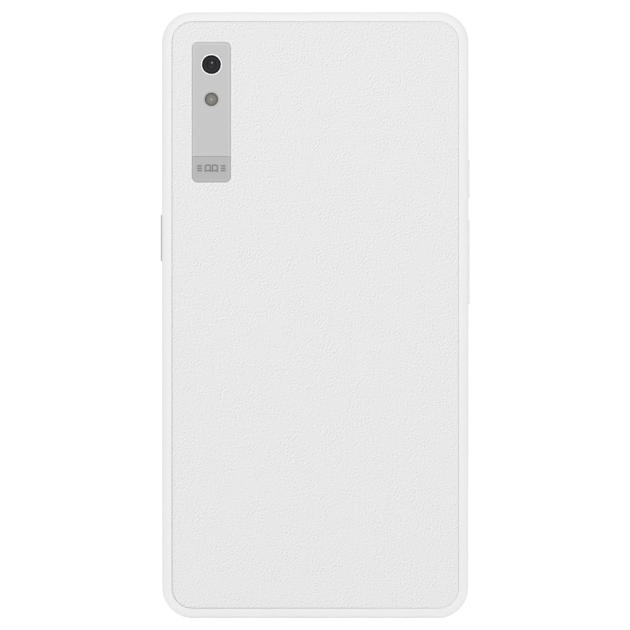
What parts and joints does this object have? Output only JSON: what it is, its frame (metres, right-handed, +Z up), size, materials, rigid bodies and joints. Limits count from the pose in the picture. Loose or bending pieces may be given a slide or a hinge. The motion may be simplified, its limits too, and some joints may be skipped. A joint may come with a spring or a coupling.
{
  "type": "e-reader",
  "caption": "Phone-format electronic paper reader: slim white slab with a textured back, a grey camera strip, side keys, a card tray and a charging port.",
  "frame": {"origin": "middle of the bottom edge, halfway through the thickness, with the reader standing upright", "axes": "+Z up along the length, +Y out of the textured back (the screen faces -Y), X across the width with the power button on +X"},
  "size_m": [0.0813, 0.0081, 0.159],
  "materials": {
    "frame_white": "satin white polycarbonate",
    "chassis_steel": "rolled stainless sheet",
    "lens_glass": "anti-glare cover glass",
    "border_white": "white printed film",
    "touch_glass": "clear laminated film",
    "guide_clear": "clear acrylic light guide",
    "led_phosphor": "yellow phosphor over white package",
    "flex_amber": "amber polyimide",
    "epaper_grey": "paper-like grey, unlit",
    "backplane_glass": "thin-film backplane",
    "chip_black": "moulded epoxy",
    "panel_textured": "white, fine creased leather-like emboss",
    "adhesive_black": "foam adhesive",
    "plate_grey": "light grey, satin face with a polished bevel",
    "badge_grey": "mid grey, satin face with a polished bevel",
    "ring_metal": "turned and anodised",
    "window_dark": "polished dark glass",
    "barrel_black": "matte black, light absorbing",
    "lens_optic": "coated optical glass",
    "flash_diffuser": "warm grey ringed diffuser",
    "button_grey": "bead-blasted grey",
    "sensor_grey": "smooth satin sensor cap",
    "spring_steel": "formed stainless dome",
    "bracket_steel": "pressed stainless",
    "key_white": "satin white",
    "screw_steel": "zinc-plated steel",
    "board_green": "solder mask on glass fibre",
    "shield_tin": "tinned nickel silver",
    "socket_ivory": "heat-proof plastic",
    "seal_rubber": "silicone",
    "mic_metal": "gold-tinted can",
    "cover_black": "fine spark texture",
    "antenna_copper": "plated copper trace",
    "usb_steel": "drawn stainless shell",
    "mesh_steel": "woven black mesh",
    "battery_foil": "grey laminated pouch foil"
  },
  "bodies": {
    "device": {"side_frame": "frame_white", "mid_plate": "chassis_steel", "cover_lens": "lens_glass", "bezel_film": "border_white", "touch_layer": "touch_glass", "light_guide": "guide_clear", "frontlight_leds": "led_phosphor", "frontlight_strip": "flex_amber", "epaper_film": "epaper_grey", "epaper_backplane": "backplane_glass", "display_flex": "flex_amber", "light_sensor": "chip_black", "back_panel": "panel_textured", "back_adhesive": "adhesive_black", "camera_plate": "plate_grey", "badge_plate": "badge_grey", "camera_ring": "ring_metal", "camera_window": "window_dark", "camera_barrel": "barrel_black", "camera_lenses": "lens_optic", "camera_body": "barrel_black", "camera_flex": "flex_amber", "flash_window": "flash_diffuser", "flash_led": "led_phosphor", "power_dome": "spring_steel", "power_flex": "flex_amber", "power_bracket": "bracket_steel", "function_dome": "spring_steel", "volume_domes": "spring_steel", "side_key_flex": "flex_amber", "side_key_bracket": "bracket_steel", "bracket_screws": "screw_steel", "main_board": "board_green", "processor": "chip_black", "board_chips": "chip_black", "board_shields": "shield_tin", "board_connectors": "socket_ivory", "card_reader": "shield_tin", "eject_lever": "bracket_steel", "top_microphone": "mic_metal", "upper_cover": "cover_black", "lower_cover": "cover_black", "antennas": "antenna_copper", "cover_screws": "screw_steel", "sub_board": "board_green", "usb_shell": "usb_steel", "usb_tongue": "chip_black", "speaker_module": "cover_black", "speaker_mesh": "mesh_steel", "bottom_microphone": "mic_metal", "main_flex": "flex_amber", "battery_cell": "battery_foil", "battery_adhesive": "adhesive_black", "battery_lead": "flex_amber"},
    "power_key": {"power_button": "button_grey", "fingerprint_sensor": "sensor_grey"},
    "function_key": {"function_button": "key_white"},
    "volume_rocker": {"volume_key": "key_white"},
    "tray": {"card_tray": "key_white", "tray_seal": "seal_rubber"}
  },
  "joints": [
    {"name": "power_press", "type": "slide", "parent": "device", "child": "power_key", "axis": [-1, 0, 0], "range_m": [0, 0.0003], "stiffness_N_per_m": 1000, "springref_m": -0.0002, "deforming": ["power_dome"]},
    {"name": "function_press", "type": "slide", "parent": "device", "child": "function_key", "axis": [1, 0, 0], "range_m": [0, 0.0003], "stiffness_N_per_m": 1000, "springref_m": -0.0002, "deforming": ["function_dome"]},
    {"name": "volume_rock", "type": "hinge", "parent": "device", "child": "volume_rocker", "pos_m": [-0.038, 0, 0.0934], "axis": [0, 1, 0], "range_deg": [-1.3, 1.3], "stiffness_Nm_per_rad": 0.1, "deforming": ["volume_domes"]},
    {"name": "card_tray_slide", "type": "slide", "parent": "device", "child": "tray", "axis": [0, 0, 1], "range_m": [0, 0.022]}
  ]
}
